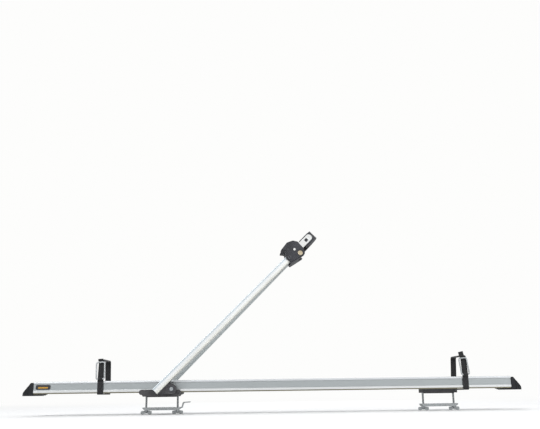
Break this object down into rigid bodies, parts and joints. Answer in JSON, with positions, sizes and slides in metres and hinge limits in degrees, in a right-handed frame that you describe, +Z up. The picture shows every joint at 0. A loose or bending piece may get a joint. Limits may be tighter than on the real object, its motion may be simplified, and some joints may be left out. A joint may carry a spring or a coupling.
{
  "type": "roof mounted bike carrier",
  "caption": "Roof bike carrier: long aluminium wheel channel on bar clamps, folding two-legged arm with a lockable frame claw, and wheel straps with wire buckles.",
  "frame": {"origin": "middle of the front bar pad's underside, on the top of the front roof bar", "axes": "+X along the channel towards the rear strap, +Y across the channel away from the buckles, +Z up"},
  "size_m": [1.3884, 0.1898, 0.5215],
  "materials": {
    "aluminium": "satin anodised extrusion",
    "black_plastic": "fine grained moulding",
    "rubber": "matte",
    "webbing": "woven strap",
    "zinc_steel": "bright zinc plating",
    "dark_steel": "black oxide",
    "brass": "brass-toned lock face"
  },
  "bodies": {
    "tray": {"tray_channel": "aluminium", "front_end_cap": "black_plastic", "rear_end_cap": "black_plastic", "cap_screws": "dark_steel", "front_foot": "black_plastic", "front_bar_pad": "rubber", "front_clamp_bolts": "zinc_steel", "pivot_bolts": "zinc_steel", "pivot_washers": "dark_steel", "pivot_nuts": "zinc_steel"},
    "front_plate": {"front_clamp_plate": "zinc_steel"},
    "front_nut_fore": {"front_wing_nut_fore": "zinc_steel"},
    "front_nut_aft": {"front_wing_nut_aft": "zinc_steel"},
    "rear_clamp": {"rear_foot": "black_plastic", "rear_bar_pad": "rubber", "rear_clamp_bolts": "zinc_steel"},
    "rear_plate": {"rear_clamp_plate": "zinc_steel"},
    "rear_nut_fore": {"rear_wing_nut_fore": "zinc_steel"},
    "rear_nut_aft": {"rear_wing_nut_aft": "zinc_steel"},
    "arm": {"near_shoe": "black_plastic", "far_shoe": "black_plastic", "shoe_rivets": "dark_steel", "near_leg": "aluminium", "far_leg": "aluminium", "near_head_shell": "black_plastic", "far_head_shell": "black_plastic", "head_screws": "dark_steel", "lever_bolt": "dark_steel", "guide_pins": "zinc_steel", "claw_hinge_pin": "zinc_steel"},
    "lever": {"cam_lever": "black_plastic"},
    "saddle_slide": {"saddle": "black_plastic", "saddle_pad": "rubber"},
    "claw_arm": {"claw": "black_plastic", "claw_pad": "rubber", "claw_plate": "zinc_steel"},
    "lock": {"lock_barrel": "brass", "lock_tongue": "zinc_steel"},
    "front_band": {"front_strap": "webbing"},
    "front_loop": {"front_buckle": "zinc_steel"},
    "rear_band": {"rear_strap": "webbing"},
    "rear_loop": {"rear_buckle": "zinc_steel"}
  },
  "joints": [
    {"name": "arm_fold", "type": "hinge", "parent": "tray", "child": "arm", "pos_m": [0.033, 0, 0.021], "axis": [0, 1, 0], "range_deg": [-9, 39]},
    {"name": "lever_swing", "type": "hinge", "parent": "arm", "child": "lever", "pos_m": [0.36576, 0, 0.39053], "axis": [0, 1, 0], "range_deg": [0, 90]},
    {"name": "saddle_lift", "type": "slide", "parent": "arm", "child": "saddle_slide", "axis": [-0.7071, 0, -0.7071], "range_m": [0, 0.004]},
    {"name": "claw_open", "type": "hinge", "parent": "arm", "child": "claw_arm", "pos_m": [0.39122, 0.0383, 0.41599], "axis": [-0.7071, 0, 0.7071], "range_deg": [0, 100]},
    {"name": "lock_turn", "type": "hinge", "parent": "arm", "child": "lock", "pos_m": [0.39688, -0.043, 0.40326], "axis": [0, -1, 0], "range_deg": [0, 90]},
    {"name": "front_plate_travel", "type": "slide", "parent": "tray", "child": "front_plate", "axis": [0, 0, 1], "range_m": [-0.004, 0.01]},
    {"name": "front_nut_fore_spin", "type": "hinge", "parent": "front_plate", "child": "front_nut_fore", "pos_m": [-0.044, 0, -0.036], "axis": [0, 0, 1], "continuous": true},
    {"name": "front_nut_aft_spin", "type": "hinge", "parent": "front_plate", "child": "front_nut_aft", "pos_m": [0.044, 0, -0.036], "axis": [0, 0, 1], "continuous": true},
    {"name": "rear_clamp_travel", "type": "slide", "parent": "tray", "child": "rear_clamp", "axis": [1, 0, 0], "range_m": [-0.15, 0.003]},
    {"name": "rear_plate_travel", "type": "slide", "parent": "rear_clamp", "child": "rear_plate", "axis": [0, 0, 1], "range_m": [-0.004, 0.01]},
    {"name": "rear_nut_fore_spin", "type": "hinge", "parent": "rear_plate", "child": "rear_nut_fore", "pos_m": [0.742, 0, -0.036], "axis": [0, 0, 1], "continuous": true},
    {"name": "rear_nut_aft_spin", "type": "hinge", "parent": "rear_plate", "child": "rear_nut_aft", "pos_m": [0.83, 0, -0.036], "axis": [0, 0, 1], "continuous": true},
    {"name": "front_strap_travel", "type": "slide", "parent": "tray", "child": "front_band", "axis": [1, 0, 0], "range_m": [-0.15, 0.09]},
    {"name": "front_buckle_swing", "type": "hinge", "parent": "front_band", "child": "front_loop", "pos_m": [-0.164, -0.06191, 0.05048], "axis": [0.9986, 0.009, 0.0516], "range_deg": [0, 110]},
    {"name": "rear_strap_travel", "type": "slide", "parent": "tray", "child": "rear_band", "axis": [1, 0, 0], "range_m": [-0.003, 0.1]},
    {"name": "rear_buckle_swing", "type": "hinge", "parent": "rear_band", "child": "rear_loop", "pos_m": [0.852, -0.06191, 0.05048], "axis": [0.9976, 0.012, 0.0687], "range_deg": [0, 110]}
  ],
  "couplings": [
    {"joint": "lever_swing", "follows": "saddle_lift", "rad_per_m": 392.7}
  ]
}
